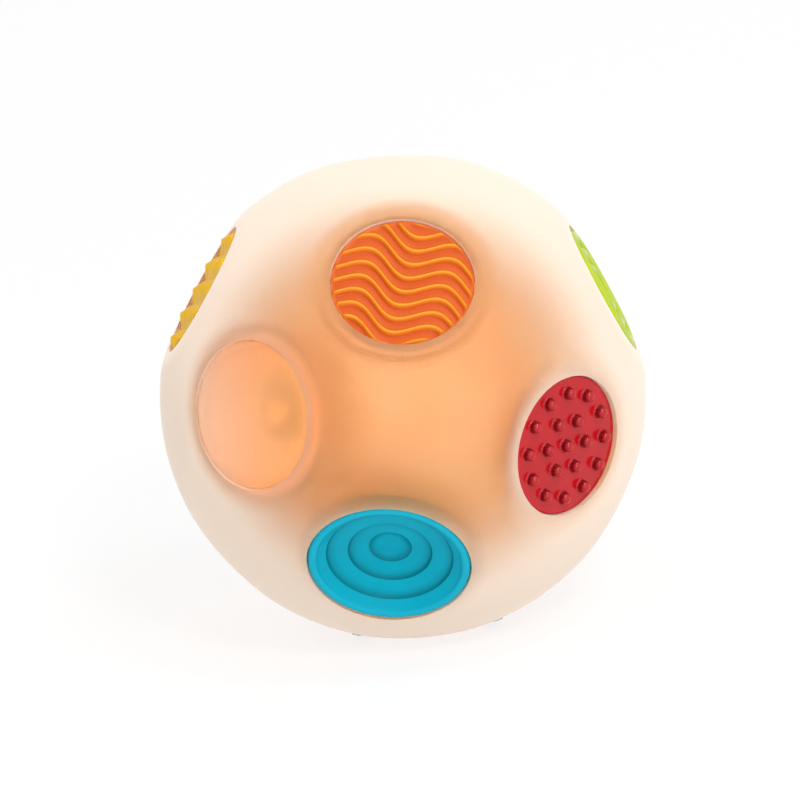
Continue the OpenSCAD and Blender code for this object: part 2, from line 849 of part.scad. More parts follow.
module ring_pad() {
    color("yellowgreen") ball_frame() facet_frame(ring_place_deg) {
        pad_base(pad_r, pad_top_z);
        translate([0, 0, pad_top_z]) rotate_extrude() for (i = [0:2])
            translate([ring_ridge_r - i * ring_pitch, 0]) intersection() {
                circle(r = ring_section_r);
                translate([-ring_section_r, -ring_section_r / 2]) square(2 * ring_section_r);
            }
    }
}

module wave_pad() {
    color("darkorange") ball_frame() wave_disc(wave_place_deg);
}

module bowl_pad() {
    color("darkturquoise") ball_frame() bowl_disc(bowl_place_deg);
}

module nub_pad() {
    color("crimson") ball_frame() nub_disc(nub_place_deg);
}

module rear_wave_pad() {
    color("darkorange") ball_frame() wave_disc(rear_wave_place_deg);
}

module rear_bowl_pad() {
    color("darkturquoise") ball_frame() bowl_disc(rear_bowl_place_deg);
}

module rear_nub_pad() {
    color("crimson") ball_frame() nub_disc(rear_nub_place_deg);
}

body_shell();
base_cap();
seal_ring();
base_screws();
battery_holder();
battery_door();
door_screw();
door_contacts();
door_springs();
battery_cell_1();
battery_cell_2();
battery_cell_3();
top_contacts();
return_strip();
light_board();
light_diodes();
lead_socket();
light_diffuser();
light_button();
switch_carrier();
switch_board();
switch_housing();
switch_plunger();
switch_leads();
wave_pad();
bowl_pad();
nub_pad();
pyramid_pad();
ring_pad();
rear_wave_pad();
rear_bowl_pad();
rear_nub_pad();
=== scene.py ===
import math

import bmesh
import bpy
from mathutils import Matrix, Vector


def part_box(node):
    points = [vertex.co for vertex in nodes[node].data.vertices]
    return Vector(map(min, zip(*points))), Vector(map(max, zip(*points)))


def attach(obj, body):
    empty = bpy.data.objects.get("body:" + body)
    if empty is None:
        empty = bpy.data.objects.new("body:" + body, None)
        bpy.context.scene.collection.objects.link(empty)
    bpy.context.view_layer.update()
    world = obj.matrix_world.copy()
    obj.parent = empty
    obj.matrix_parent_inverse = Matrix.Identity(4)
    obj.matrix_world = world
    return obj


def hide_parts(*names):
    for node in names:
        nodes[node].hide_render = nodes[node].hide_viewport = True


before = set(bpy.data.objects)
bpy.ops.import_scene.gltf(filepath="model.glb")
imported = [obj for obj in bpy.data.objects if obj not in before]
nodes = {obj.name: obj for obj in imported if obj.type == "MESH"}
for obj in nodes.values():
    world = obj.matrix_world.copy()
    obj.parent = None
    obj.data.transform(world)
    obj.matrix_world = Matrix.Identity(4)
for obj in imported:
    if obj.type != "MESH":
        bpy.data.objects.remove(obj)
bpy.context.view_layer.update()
scene = bpy.context.scene
scene.view_settings.view_transform = "Standard"
mm = 0.001

# the ball rests on one of its facets, so every facet is as far from the middle as the floor is
shellLow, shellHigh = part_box("body_shell")
ballRadius = (shellHigh.x - shellLow.x) / 2
ballMiddle = Vector((0, 0, shellHigh.z - ballRadius))
facetOut = ballMiddle.z

# azimuth, elevation and turn of the facets that carry a piece or a dish, in degrees
facets = {
    "wave_pad": (-86, 46, 82),
    "bowl_pad": (-99, -29, 0),
    "nub_pad": (-47, -4.5, 23),
    "pyramid_pad": (177, 34.5, 20),
    "ring_pad": (1, 23, 0),
    "light_button": (-132, 12, 0),
    "rear_wave_pad": (60, -2.832, 20),
    "rear_bowl_pad": (98, -38.832, 0),
    "rear_nub_pad": (128, 5.168, 10),
    "top dish": (85, 62, 0),
    "left dish": (175, -40, 0),
    "right dish": (6, -34, 0),
}
print("frame loaded, ball radius", round(ballRadius / mm, 2), "mm")


def srgb(hexColour):
    channels = [int(hexColour[i:i + 2], 16) / 255 for i in (1, 3, 5)]
    return tuple(c / 12.92 if c <= 0.04045 else ((c + 0.055) / 1.055) ** 2.4 for c in channels) + (1,)


def addNode(tree, kind, inputs=None, **settings):
    node = tree.nodes.new(kind)
    for name, value in settings.items():
        setattr(node, name, value)
    for name, value in (inputs or {}).items():
        if isinstance(value, bpy.types.NodeSocket):
            tree.links.new(value, node.inputs[name])
        else:
            node.inputs[name].default_value = value
    return node


def newMaterial(name):
    material = bpy.data.materials.new(name)
    material.use_nodes = True
    material.node_tree.nodes.clear()
    return material, material.node_tree


def dress(node, material):
    mesh = nodes[node].data
    mesh.materials.clear()
    mesh.materials.append(material)


# camera on the photograph's side, far off with a long lens
cameraView = {
    "back": (0, -0.955, 0.295),
    "up": (0.105, 0.293, 0.95),
    "distance": 1.6,
    "frameWidth": 0.1975,
    "ballPixel": (403, 395.5),
    "imageSize": 800,
}


def makeCamera(view):
    back = Vector(view["back"]).normalized()
    up = Vector(view["up"])
    right = up.cross(back).normalized()
    up = back.cross(right)
    perPixel = view["frameWidth"] / view["imageSize"]
    half = view["imageSize"] / 2
    aside = (half - view["ballPixel"][0]) * perPixel
    above = (view["ballPixel"][1] - half) * perPixel
    aim = ballMiddle + right * aside + up * above
    data = bpy.data.cameras.new("camera")
    data.lens = data.sensor_width * view["distance"] / view["frameWidth"]
    camera = bpy.data.objects.new("camera", data)
    scene.collection.objects.link(camera)
    camera.matrix_world = Matrix.Translation(aim + back * view["distance"]) @ Matrix(
        (right, up, back)).transposed().to_4x4()
    scene.camera = camera


makeCamera(cameraView)

studio = {
    # place, width and power of each lamp
    "lamps": {
        "key lamp": ((-0.5, -0.6, 0.9), 0.7, 0.6),
        "fill lamp": ((0.9, -0.5, 0.4), 0.8, 0.9),
        "rim lamp": ((0.1, 0.9, 0.7), 0.9, 1.2),
        "low lamp": ((0.15, -0.9, 0.06), 0.5, 1.8),
        "spark lamp": ((0.3, -0.8, 0.8), 0.24, 3.2),  # small, for bright points on gloss
        "top lamp": ((0.35, -0.3, 0.95), 0.3, 1.7),
    },
    "worldStrength": 0.62,
    "white": "#FFFFFF",
    "paper": "#F4F4F4",
    "paperShow": 0.8,
    "paperShade": "#808080",
    "floorReach": 6,
    "floorLevel": -0.1 * mm,  # a hair under the ball, so that the two flat faces don't flicker
}


# 1 for rays that see a thing directly, through clear plastic or in gloss, and 0 for those that only light it
def seenDirectly(tree):
    path = addNode(tree, "ShaderNodeLightPath")
    mirrored = addNode(tree, "ShaderNodeMath", {0: path.outputs["Is Camera Ray"], 1: path.outputs["Is Glossy Ray"]},
        operation="MAXIMUM")
    return addNode(tree, "ShaderNodeMath", {0: mirrored.outputs[0], 1: path.outputs["Is Transmission Ray"]},
        operation="MAXIMUM").outputs[0]


def addLamp(name, place, width, power):
    data = bpy.data.lights.new(name, "AREA")
    data.shape = "DISK"
    data.size = width
    data.energy = power
    lamp = bpy.data.objects.new(name, data)
    scene.collection.objects.link(lamp)
    lamp.location = place
    lamp.rotation_euler = (ballMiddle - Vector(place)).to_track_quat("-Z", "Y").to_euler()


def makeStudio(setup):
    world = bpy.data.worlds.new("studio")
    scene.world = world
    world.use_nodes = True
    tree = world.node_tree
    tree.nodes.clear()
    level = addNode(tree, "ShaderNodeMapRange", {"Value": seenDirectly(tree), "To Min": setup["worldStrength"],
        "To Max": 1.0})
    air = addNode(tree, "ShaderNodeBackground", {"Color": srgb(setup["white"]), "Strength": level.outputs[0]})
    addNode(tree, "ShaderNodeOutputWorld", {"Surface": air.outputs[0]})
    for name, (place, width, power) in setup["lamps"].items():
        addLamp(name, place, width, power)
    floorMesh = bpy.data.meshes.new("floor")
    reach = setup["floorReach"]
    corners = [(x * reach, y * reach, setup["floorLevel"]) for x, y in ((-1, -1), (1, -1), (1, 1), (-1, 1))]
    floorMesh.from_pydata(corners, [], [(0, 1, 2, 3)])
    floor = bpy.data.objects.new("floor", floorMesh)
    scene.collection.objects.link(floor)
    material, tree = newMaterial("paper floor")
    paper = addNode(tree, "ShaderNodeBsdfDiffuse", {"Color": srgb(setup["paper"])})
    shown = addNode(tree, "ShaderNodeEmission", {"Color": srgb(setup["white"]), "Strength": setup["paperShow"]})
    faint = addNode(tree, "ShaderNodeBsdfDiffuse", {"Color": srgb(setup["paperShade"])})
    seen = addNode(tree, "ShaderNodeAddShader", {0: faint.outputs[0], 1: shown.outputs[0]})
    either = addNode(tree, "ShaderNodeMixShader", {0: seenDirectly(tree), 1: paper.outputs[0], 2: seen.outputs[0]})
    addNode(tree, "ShaderNodeOutputMaterial", {"Surface": either.outputs[0]})
    floorMesh.materials.append(material)


makeStudio(studio)
print("camera and studio set")

shellLook = {
    "finish": "frosted translucent plastic",
    "colour": "#F5E4CA",
    "thickColour": "#F4DDBF",
    "transmission": 0.97,
    "roughness": 1.0,
    "ior": 1.3,
    "paintedGlow": "#FFAE6C",
    "paintedGlowStrength": 0.1,
    "haze": "#F3EAE0",
    "hazeRoughness": 1.0,
    "hazeFrom": 0.1,
    "hazeTo": 0.52,
    "hazeMost": 0.9,
    "cloudSize": 18 * mm,
    "cloudEdge": (0.35, 0.65),
    "grainSize": 0.6 * mm,
    "grainDepth": 0.03 * mm,
    "grainStrength": 0.06,
}


# frosted soft plastic, lit from inside: warm light soaks through the wall, helped by a painted glow in the wall itself,
# and its matt skin looks white at a slant
def frostedPlastic(look):
    material, tree = newMaterial(look["finish"])
    spot = addNode(tree, "ShaderNodeTexCoord")
    cloud = addNode(tree, "ShaderNodeTexNoise", {"Vector": spot.outputs["Object"], "Scale": 1 / look["cloudSize"],
        "Detail": 2})
    tint = addNode(tree, "ShaderNodeValToRGB", {"Fac": cloud.outputs["Fac"]})  # where the wall is a little thicker
    tint.color_ramp.elements[0].position = look["cloudEdge"][0]
    tint.color_ramp.elements[0].color = srgb(look["thickColour"])
    tint.color_ramp.elements[1].position = look["cloudEdge"][1]
    tint.color_ramp.elements[1].color = srgb(look["colour"])
    grain = addNode(tree, "ShaderNodeTexNoise", {"Vector": spot.outputs["Object"], "Scale": 1 / look["grainSize"],
        "Detail": 2})
    bump = addNode(tree, "ShaderNodeBump", {"Strength": look["grainStrength"], "Distance": look["grainDepth"],
        "Height": grain.outputs["Fac"]})
    body = addNode(tree, "ShaderNodeBsdfPrincipled", {
        "Base Color": tint.outputs["Color"],
        "Roughness": look["roughness"],
        "IOR": look["ior"],
        "Transmission Weight": look["transmission"],
        # painted glow: the wall's own emission stands in for light from the core
        "Emission Color": srgb(look["paintedGlow"]),
        "Emission Strength": look["paintedGlowStrength"],
        "Normal": bump.outputs[0],
    })
    haze = addNode(tree, "ShaderNodeBsdfGlossy", {"Color": srgb(look["haze"]), "Roughness": look["hazeRoughness"],
        "Normal": bump.outputs[0]})
    # painted shade across the piece: where a direction is given, the haze share is set by position rather than by the
    # slant of the view
    if "hazeAcross" in look:
        slant = addNode(tree, "ShaderNodeVectorMath", {0: spot.outputs["Object"], 1: look["hazeAcross"]},
            operation="DOT_PRODUCT").outputs["Value"]
    else:
        slant = addNode(tree, "ShaderNodeLayerWeight", {"Blend": 0.5}).outputs["Facing"]
    share = addNode(tree, "ShaderNodeMapRange", {"Value": slant, "From Min": look["hazeFrom"],
        "From Max": look["hazeTo"], "To Max": look["hazeMost"]}, interpolation_type="SMOOTHSTEP")
    frosted = addNode(tree, "ShaderNodeMixShader", {0: share.outputs[0], 1: body.outputs[0], 2: haze.outputs[0]})
    addNode(tree, "ShaderNodeOutputMaterial", {"Surface": frosted.outputs[0]})
    return material


plasticSkin = {
    "cloudSize": 5 * mm,
    "toneEdge": (0.3, 0.7),
    "grainSize": 0.4 * mm,
    "grainDepth": 0.04 * mm,
    "grainStrength": 0.15,
    "roughnessSpread": 0.08,
}


# moulded plastic or rubber of the parts inside: faint clouds from the melt and the mould's fine grain
def mouldedPlastic(look, detail=plasticSkin):
    material, tree = newMaterial(look["finish"])
    spot = addNode(tree, "ShaderNodeTexCoord")
    cloud = addNode(tree, "ShaderNodeTexNoise", {"Vector": spot.outputs["Object"], "Scale": 1 / detail["cloudSize"],
        "Detail": 3})
    tone = addNode(tree, "ShaderNodeValToRGB", {"Fac": cloud.outputs["Fac"]})
    tone.color_ramp.elements[0].position = detail["toneEdge"][0]
    tone.color_ramp.elements[0].color = srgb(look["shade"])
    tone.color_ramp.elements[1].position = detail["toneEdge"][1]
    tone.color_ramp.elements[1].color = srgb(look["colour"])
    grain = addNode(tree, "ShaderNodeTexNoise", {"Vector": spot.outputs["Object"], "Scale": 1 / detail["grainSize"],
        "Detail": 2})
    skin = addNode(tree, "ShaderNodeMapRange", {"Value": grain.outputs["Fac"],
        "To Min": look["roughness"] - detail["roughnessSpread"],
        "To Max": look["roughness"] + detail["roughnessSpread"]})
    bump = addNode(tree, "ShaderNodeBump", {"Strength": detail["grainStrength"], "Distance": detail["grainDepth"],
        "Height": grain.outputs["Fac"]})
    body = addNode(tree, "ShaderNodeBsdfPrincipled", {
        "Base Color": tone.outputs["Color"],
        "Roughness": skin.outputs[0],
        "IOR": look["ior"],
        "Emission Color": srgb(look["colour"]),
        "Emission Strength": look.get("light", 0.0),
        "Normal": bump.outputs[0],
    })
    addNode(tree, "ShaderNodeOutputMaterial", {"Surface": body.outputs[0]})
    return material


metalSkin = {
    "streakWidth": 0.3 * mm,
    "streakSquash": 0.12,
    "toneEdge": (0.3, 0.7),
    "streakDepth": 0.02 * mm,
    "streakStrength": 0.1,
    "smoother": 0.08,
    "rougher": 0.1,
}


# plated sheet, wire and screws: drawn or rolled metal, so its gloss is broken by fine streaks along Z
def platedMetal(look, detail=metalSkin):
    material, tree = newMaterial(look["finish"])
    spot = addNode(tree, "ShaderNodeTexCoord")
    drawn = addNode(tree, "ShaderNodeMapping", {"Vector": spot.outputs["Object"],
        "Scale": (1, 1, detail["streakSquash"])})
    streak = addNode(tree, "ShaderNodeTexNoise", {"Vector": drawn.outputs[0], "Scale": 1 / detail["streakWidth"],
        "Detail": 3})
    tone = addNode(tree, "ShaderNodeValToRGB", {"Fac": streak.outputs["Fac"]})
    tone.color_ramp.elements[0].position = detail["toneEdge"][0]
    tone.color_ramp.elements[0].color = srgb(look["shade"])
    tone.color_ramp.elements[1].position = detail["toneEdge"][1]
    tone.color_ramp.elements[1].color = srgb(look["colour"])
    skin = addNode(tree, "ShaderNodeMapRange", {"Value": streak.outputs["Fac"],
        "To Min": look["roughness"] - detail["smoother"], "To Max": look["roughness"] + detail["rougher"]})
    bump = addNode(tree, "ShaderNodeBump", {"Strength": detail["streakStrength"], "Distance": detail["streakDepth"],
        "Height": streak.outputs["Fac"]})
    body = addNode(tree, "ShaderNodeBsdfPrincipled", {
        "Base Color": tone.outputs["Color"],
        "Metallic": 1.0,
        "Roughness": skin.outputs[0],
        "Normal": bump.outputs[0],
    })
    addNode(tree, "ShaderNodeOutputMaterial", {"Surface": body.outputs[0]})
    return material


cellLook = {
    "can": "#C9CBCD",
    "jacket": "#5C6672",
    "band": "#B7BEC6",
    "bareEnd": 1.6 * mm,
    "bandWidth": 7 * mm,
    "scuffSize": 1.5 * mm,
    "metallic": 0.7,
    "roughness": (0.25, 0.45),
}


# a cell in a plain printed jacket, with bare steel at both ends and one pale band
def cellJacket(look):
    low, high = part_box("battery_cell_1")
    material, tree = newMaterial("cell jacket")
    spot = addNode(tree, "ShaderNodeTexCoord")
    place = addNode(tree, "ShaderNodeSeparateXYZ", {0: spot.outputs["Object"]})
    share = addNode(tree, "ShaderNodeMapRange", {"Value": place.outputs["Z"], "From Min": low.z, "From Max": high.z})
    wrap = addNode(tree, "ShaderNodeValToRGB", {"Fac": share.outputs[0]})
    wrap.color_ramp.interpolation = "CONSTANT"
    span = high.z - low.z
    stops = [(0, "can"), (look["bareEnd"] / span, "jacket"),
        (1 - (look["bareEnd"] + look["bandWidth"]) / span, "band"), (1 - look["bareEnd"] / span, "can")]
    for position, _ in stops[2:]:
        wrap.color_ramp.elements.new(position)
    for element, (position, part) in zip(wrap.color_ramp.elements, stops):
        element.position = position
        element.color = srgb(look[part])
    scuff = addNode(tree, "ShaderNodeTexNoise", {"Vector": spot.outputs["Object"], "Scale": 1 / look["scuffSize"],
        "Detail": 4})
    skin = addNode(tree, "ShaderNodeMapRange", {"Value": scuff.outputs["Fac"], "To Min": look["roughness"][0],
        "To Max": look["roughness"][1]})
    body = addNode(tree, "ShaderNodeBsdfPrincipled", {
        "Base Color": wrap.outputs["Color"],
        "Metallic": look["metallic"],
        "Roughness": skin.outputs[0],
    })
    addNode(tree, "ShaderNodeOutputMaterial", {"Surface": body.outputs[0]})
    return material


boardLook = {
    "lacquer": "#1F6B3A",
    "track": "#3E8F5A",
    "trackPitch": 3.2 * mm,
    "trackEdge": (0.06, 0.1),
    "trackHeight": 0.03 * mm,
    "trackStrength": 0.2,
    "weaveSize": 0.5 * mm,
    "roughness": (0.25, 0.4),
}


# glass-fibre laminate under green lacquer, with tracks that show as paler lines
def boardLaminate(look):
    material, tree = newMaterial("lacquered glass laminate")
    spot = addNode(tree, "ShaderNodeTexCoord")
    track = addNode(tree, "ShaderNodeTexVoronoi", {"Vector": spot.outputs["Object"],
        "Scale": 1 / look["trackPitch"]}, feature="DISTANCE_TO_EDGE")
    tone = addNode(tree, "ShaderNodeValToRGB", {"Fac": track.outputs["Distance"]})
    tone.color_ramp.elements[0].position = look["trackEdge"][0]
    tone.color_ramp.elements[0].color = srgb(look["track"])
    tone.color_ramp.elements[1].position = look["trackEdge"][1]
    tone.color_ramp.elements[1].color = srgb(look["lacquer"])
    weave = addNode(tree, "ShaderNodeTexNoise", {"Vector": spot.outputs["Object"], "Scale": 1 / look["weaveSize"],
        "Detail": 2})
    skin = addNode(tree, "ShaderNodeMapRange", {"Value": weave.outputs["Fac"], "To Min": look["roughness"][0],
        "To Max": look["roughness"][1]})
    bump = addNode(tree, "ShaderNodeBump", {"Strength": look["trackStrength"], "Distance": look["trackHeight"],
        "Height": tone.outputs["Color"]})
    body = addNode(tree, "ShaderNodeBsdfPrincipled", {
        "Base Color": tone.outputs["Color"],
        "Roughness": skin.outputs[0],
        "Normal": bump.outputs[0],
    })
    addNode(tree, "ShaderNodeOutputMaterial", {"Surface": body.outputs[0]})
    return material


leadLook = {
    "feed": "#B5231C",
    "back": "#2A2A2C",
    "cloudSize": 2 * mm,
    "halfGap": 0.1 * mm,
    "roughness": (0.3, 0.5),
}


# two soft sleeves side by side, one red and one dark, told apart by the plane between them
def leadSleeve(look):
    azimuth = math.radians(facets["light_button"][0])
    material, tree = newMaterial("vinyl lead sleeve")
    spot = addNode(tree, "ShaderNodeTexCoord")
    side = addNode(tree, "ShaderNodeVectorMath", {0: spot.outputs["Object"],
        1: (-math.sin(azimuth), math.cos(azimuth), 0)}, operation="DOT_PRODUCT")
    share = addNode(tree, "ShaderNodeMapRange", {"Value": side.outputs["Value"], "From Min": -look["halfGap"],
        "From Max": look["halfGap"]})
    cloud = addNode(tree, "ShaderNodeTexNoise", {"Vector": spot.outputs["Object"], "Scale": 1 / look["cloudSize"]})
    tone = addNode(tree, "ShaderNodeValToRGB", {"Fac": share.outputs[0]})
    tone.color_ramp.elements[0].color = srgb(look["feed"])
    tone.color_ramp.elements[1].color = srgb(look["back"])
    skin = addNode(tree, "ShaderNodeMapRange", {"Value": cloud.outputs["Fac"], "To Min": look["roughness"][0],
        "To Max": look["roughness"][1]})
    body = addNode(tree, "ShaderNodeBsdfPrincipled", {"Base Color": tone.outputs["Color"],
        "Roughness": skin.outputs[0]})
    addNode(tree, "ShaderNodeOutputMaterial", {"Surface": body.outputs[0]})
    return material


frosted = frostedPlastic(shellLook)
# the diffuser's light is a painted glow: it is opaque here, so the diodes' own light stays inside it
litDiffuser = mouldedPlastic({"finish": "lit diffuser plastic", "colour": "#FFE9DA", "shade": "#FFE2CE",
    "roughness": 0.6, "ior": 1.49, "light": 0.3})
whiteAbs = mouldedPlastic({"finish": "white ABS", "colour": "#F2F0EA", "shade": "#E9E6DE", "roughness": 0.45,
    "ior": 1.53})
litPackage = mouldedPlastic({"finish": "lit diode package", "colour": "#FFE9C6", "shade": "#FFF4E2", "roughness": 0.3,
    "ior": 1.5, "light": 1.5})
switchNylon = mouldedPlastic({"finish": "natural nylon", "colour": "#E4DCCB", "shade": "#D8CFBC", "roughness": 0.5,
    "ior": 1.53})
sealRubber = mouldedPlastic({"finish": "seal rubber", "colour": "#2B2B2D", "shade": "#222224", "roughness": 0.7,
    "ior": 1.5})
nickelPlate = platedMetal({"finish": "nickel plated brass", "colour": "#D8D2C0", "shade": "#BDB49C", "roughness": 0.28})
springWire = platedMetal({"finish": "plated spring wire", "colour": "#CFCFCF", "shade": "#A9A9AA", "roughness": 0.3})
zincPlate = platedMetal({"finish": "zinc plated steel", "colour": "#C4C6C8", "shade": "#9C9EA2", "roughness": 0.35})
cellCan = cellJacket(cellLook)
laminate = boardLaminate(boardLook)
finishes = {
    "base_cap": frosted, "battery_door": frosted,
    "light_diffuser": litDiffuser, "light_diodes": litPackage,
    "battery_holder": whiteAbs, "switch_carrier": whiteAbs, "lead_socket": whiteAbs,
    "switch_housing": switchNylon, "switch_plunger": switchNylon, "seal_ring": sealRubber,
    "door_contacts": nickelPlate, "top_contacts": nickelPlate, "return_strip": nickelPlate,
    "door_springs": springWire, "base_screws": zincPlate, "door_screw": zincPlate,
    "battery_cell_1": cellCan, "battery_cell_2": cellCan, "battery_cell_3": cellCan,
    "light_board": laminate, "switch_board": laminate, "switch_leads": leadSleeve(leadLook),
}
for name, material in finishes.items():
    dress(name, material)
print("inner pieces, cap and door dressed")

rubberSkin = {
    "cloudSize": 6 * mm,
    "toneEdge": (0.3, 0.7),
    "grainSize": 0.5 * mm,
    "grainDepth": 0.03 * mm,
    "grainStrength": 0.05,
    "roughnessSpread": 0.05,
    "ior": 1.43,
}


# soft moulded silicone: even colour with faint clouds of pigment, a satin skin and a very fine grain, and where the
# pad's points say so, a painted highlight on ridges and rims and painted shade in hollows and on nub sides
def mouldedRubber(look, detail=rubberSkin):
    material, tree = newMaterial(look["finish"])
    spot = addNode(tree, "ShaderNodeTexCoord")
    cloud = addNode(tree, "ShaderNodeTexNoise", {"Vector": spot.outputs["Object"], "Scale": 1 / detail["cloudSize"],
        "Detail": 3})
    tone = addNode(tree, "ShaderNodeValToRGB", {"Fac": cloud.outputs["Fac"]})
    tone.color_ramp.elements[0].position = detail["toneEdge"][0]
    tone.color_ramp.elements[0].color = srgb(look["shade"])
    tone.color_ramp.elements[1].position = detail["toneEdge"][1]
    tone.color_ramp.elements[1].color = srgb(look["colour"])
    colour = tone.outputs["Color"]
    # painted light: the "relief" points lay on the painted highlight colour, the "hollow" points the painted shade
    # colour
    for attribute, part in (("relief", "ridge"), ("hollow", "paintedShade")):
        if part in look:
            paintedLightMask = addNode(tree, "ShaderNodeAttribute", attribute_name=attribute)
            mixed = addNode(tree, "ShaderNodeMix", {0: paintedLightMask.outputs["Fac"], 6: colour, 7: srgb(look[part])},
                data_type="RGBA")
            colour = mixed.outputs[2]
    grain = addNode(tree, "ShaderNodeTexNoise", {"Vector": spot.outputs["Object"], "Scale": 1 / detail["grainSize"],
        "Detail": 2})
    skin = addNode(tree, "ShaderNodeMapRange", {"Value": grain.outputs["Fac"],
        "To Min": look["roughness"] - detail["roughnessSpread"],
        "To Max": look["roughness"] + detail["roughnessSpread"]})
    bump = addNode(tree, "ShaderNodeBump", {"Strength": detail["grainStrength"], "Distance": detail["grainDepth"],
        "Height": grain.outputs["Fac"]})
    body = addNode(tree, "ShaderNodeBsdfPrincipled", {
        "Base Color": colour,
        "Roughness": skin.outputs[0],
        "IOR": detail["ior"],
        "Specular IOR Level": look["gloss"],
        "Normal": bump.outputs[0],
    })
    addNode(tree, "ShaderNodeOutputMaterial", {"Surface": body.outputs[0]})
    return material


# the colours for ridges and rims are painted highlights, and those for hollows and nub sides are painted shade
orangeRubber = mouldedRubber({"finish": "orange silicone", "colour": "#E07028", "shade": "#D96620",
    "ridge": "#FFA82C", "paintedShade": "#C84C16", "roughness": 0.42, "gloss": 0.3})
blueRubber = mouldedRubber({"finish": "blue silicone", "colour": "#00ACC6", "shade": "#00A5BF", "ridge": "#14B0CC",
    "paintedShade": "#007686", "roughness": 0.45, "gloss": 0.12})
redRubber = mouldedRubber({"finish": "red silicone", "colour": "#C00614", "shade": "#B80412", "paintedShade": "#5E0410",
    "roughness": 0.16, "gloss": 0.5})
yellowRubber = mouldedRubber({"finish": "yellow silicone", "colour": "#FCC828", "shade": "#F6BE20", "roughness": 0.45,
    "gloss": 0.12})
limeRubber = mouldedRubber({"finish": "lime silicone", "colour": "#BCCF1C", "shade": "#B2C816", "roughness": 0.2,
    "gloss": 0.12})


def facetMatrix(name):
    azimuth, elevation, turn = (math.radians(a) for a in facets[name])
    return (Matrix.Translation(ballMiddle) @ Matrix.Rotation(azimuth, 4, "Z")
        @ Matrix.Rotation(math.pi / 2 - elevation, 4, "Y") @ Matrix.Rotation(turn, 4, "Z")
        @ Matrix.Translation((0, 0, facetOut)))


# corners are (radius, height, rounding) in millimetres, from the facet's plane; a rounding takes under half an edge
def roundProfile(corners, steps=5, mostShare=0.49):
    points = []
    for i, (r, z, rounding) in enumerate(corners):
        if rounding == 0:
            points.append((r, z))
            continue
        here = Vector((r, z))
        before = Vector(corners[i - 1][:2]) - here
        after = Vector(corners[i + 1][:2]) - here
        first = here + before.normalized() * min(rounding, before.length * mostShare)
        last = here + after.normalized() * min(rounding, after.length * mostShare)
        for k in range(steps + 1):
            t = k / steps
            p = first * (1 - t) ** 2 + here * 2 * t * (1 - t) + last * t * t
            points.append((p.x, p.y))
    return points


# turns a profile that starts and ends on the axis into a closed form
def spinProfile(profile, sides):
    bm = bmesh.new()
    rings = []
    for r, z in profile:
        if r == 0:
            rings.append([bm.verts.new((0, 0, z * mm))])
        else:
            turns = [2 * math.pi * k / sides for k in range(sides)]
            rings.append([bm.verts.new((r * mm * math.cos(a), r * mm * math.sin(a), z * mm)) for a in turns])
    for one, two in zip(rings, rings[1:]):
        for k in range(sides):
            n = (k + 1) % sides
            loop = [one[k % len(one)], one[n % len(one)], two[n % len(two)], two[k % len(two)]]
            bm.faces.new(list(dict.fromkeys(loop)))
    bmesh.ops.recalc_face_normals(bm, faces=bm.faces)
    return bm


# closes a relief's open edge with rings of (radius, height) under it
def closeUnder(bm, rings):
    edges = [e for e in bm.edges if e.is_boundary]
    for r, z in rings:
        made = bmesh.ops.extrude_edge_only(bm, edges=edges)["geom"]
        fresh = [g for g in made if isinstance(g, bmesh.types.BMVert)]
        for v in fresh:
            flat = Vector((v.co.x, v.co.y, 0))
            v.co = flat if r is None else flat.normalized() * r * mm
            v.co.z = z * mm
        edges = [g for g in made if isinstance(g, bmesh.types.BMEdge) and g.is_boundary]
    bmesh.ops.holes_fill(bm, edges=edges, sides=0)
    bmesh.ops.recalc_face_normals(bm, faces=bm.faces)


# writes a painted highlight ("relief") and painted shade ("hollow") for each point, from its radius and height in
# millimetres
def paintLightAndShade(bm, rule):
    relief = bm.verts.layers.float.new("relief")
    hollow = bm.verts.layers.float.new("hollow")
    for v in bm.verts:
        v[relief], v[hollow] = rule(math.hypot(v.co.x, v.co.y) / mm, v.co.z / mm)


def finishPiece(piece, bm, node, material, body="ball", sharpDegrees=35):
    mesh = bpy.data.meshes.new(piece)
    bm.to_mesh(mesh)
    bm.free()
    mesh.transform(facetMatrix(node))
    mesh.materials.append(material)
    mesh.shade_smooth()
    mesh.set_sharp_from_angle(angle=math.radians(sharpDegrees))
    made = bpy.data.objects.new(piece, mesh)
    scene.collection.objects.link(made)
    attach(made, body)
    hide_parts(node)


# facets with no pad, each with a shallow round dish
plainDish = {
    "places": ("top dish", "left dish", "right dish"),
    "radius": 16 * mm,
    "depth": 1.4 * mm,
    "middleShare": 0.6,
    "pointSize": 0.05 * mm,
}


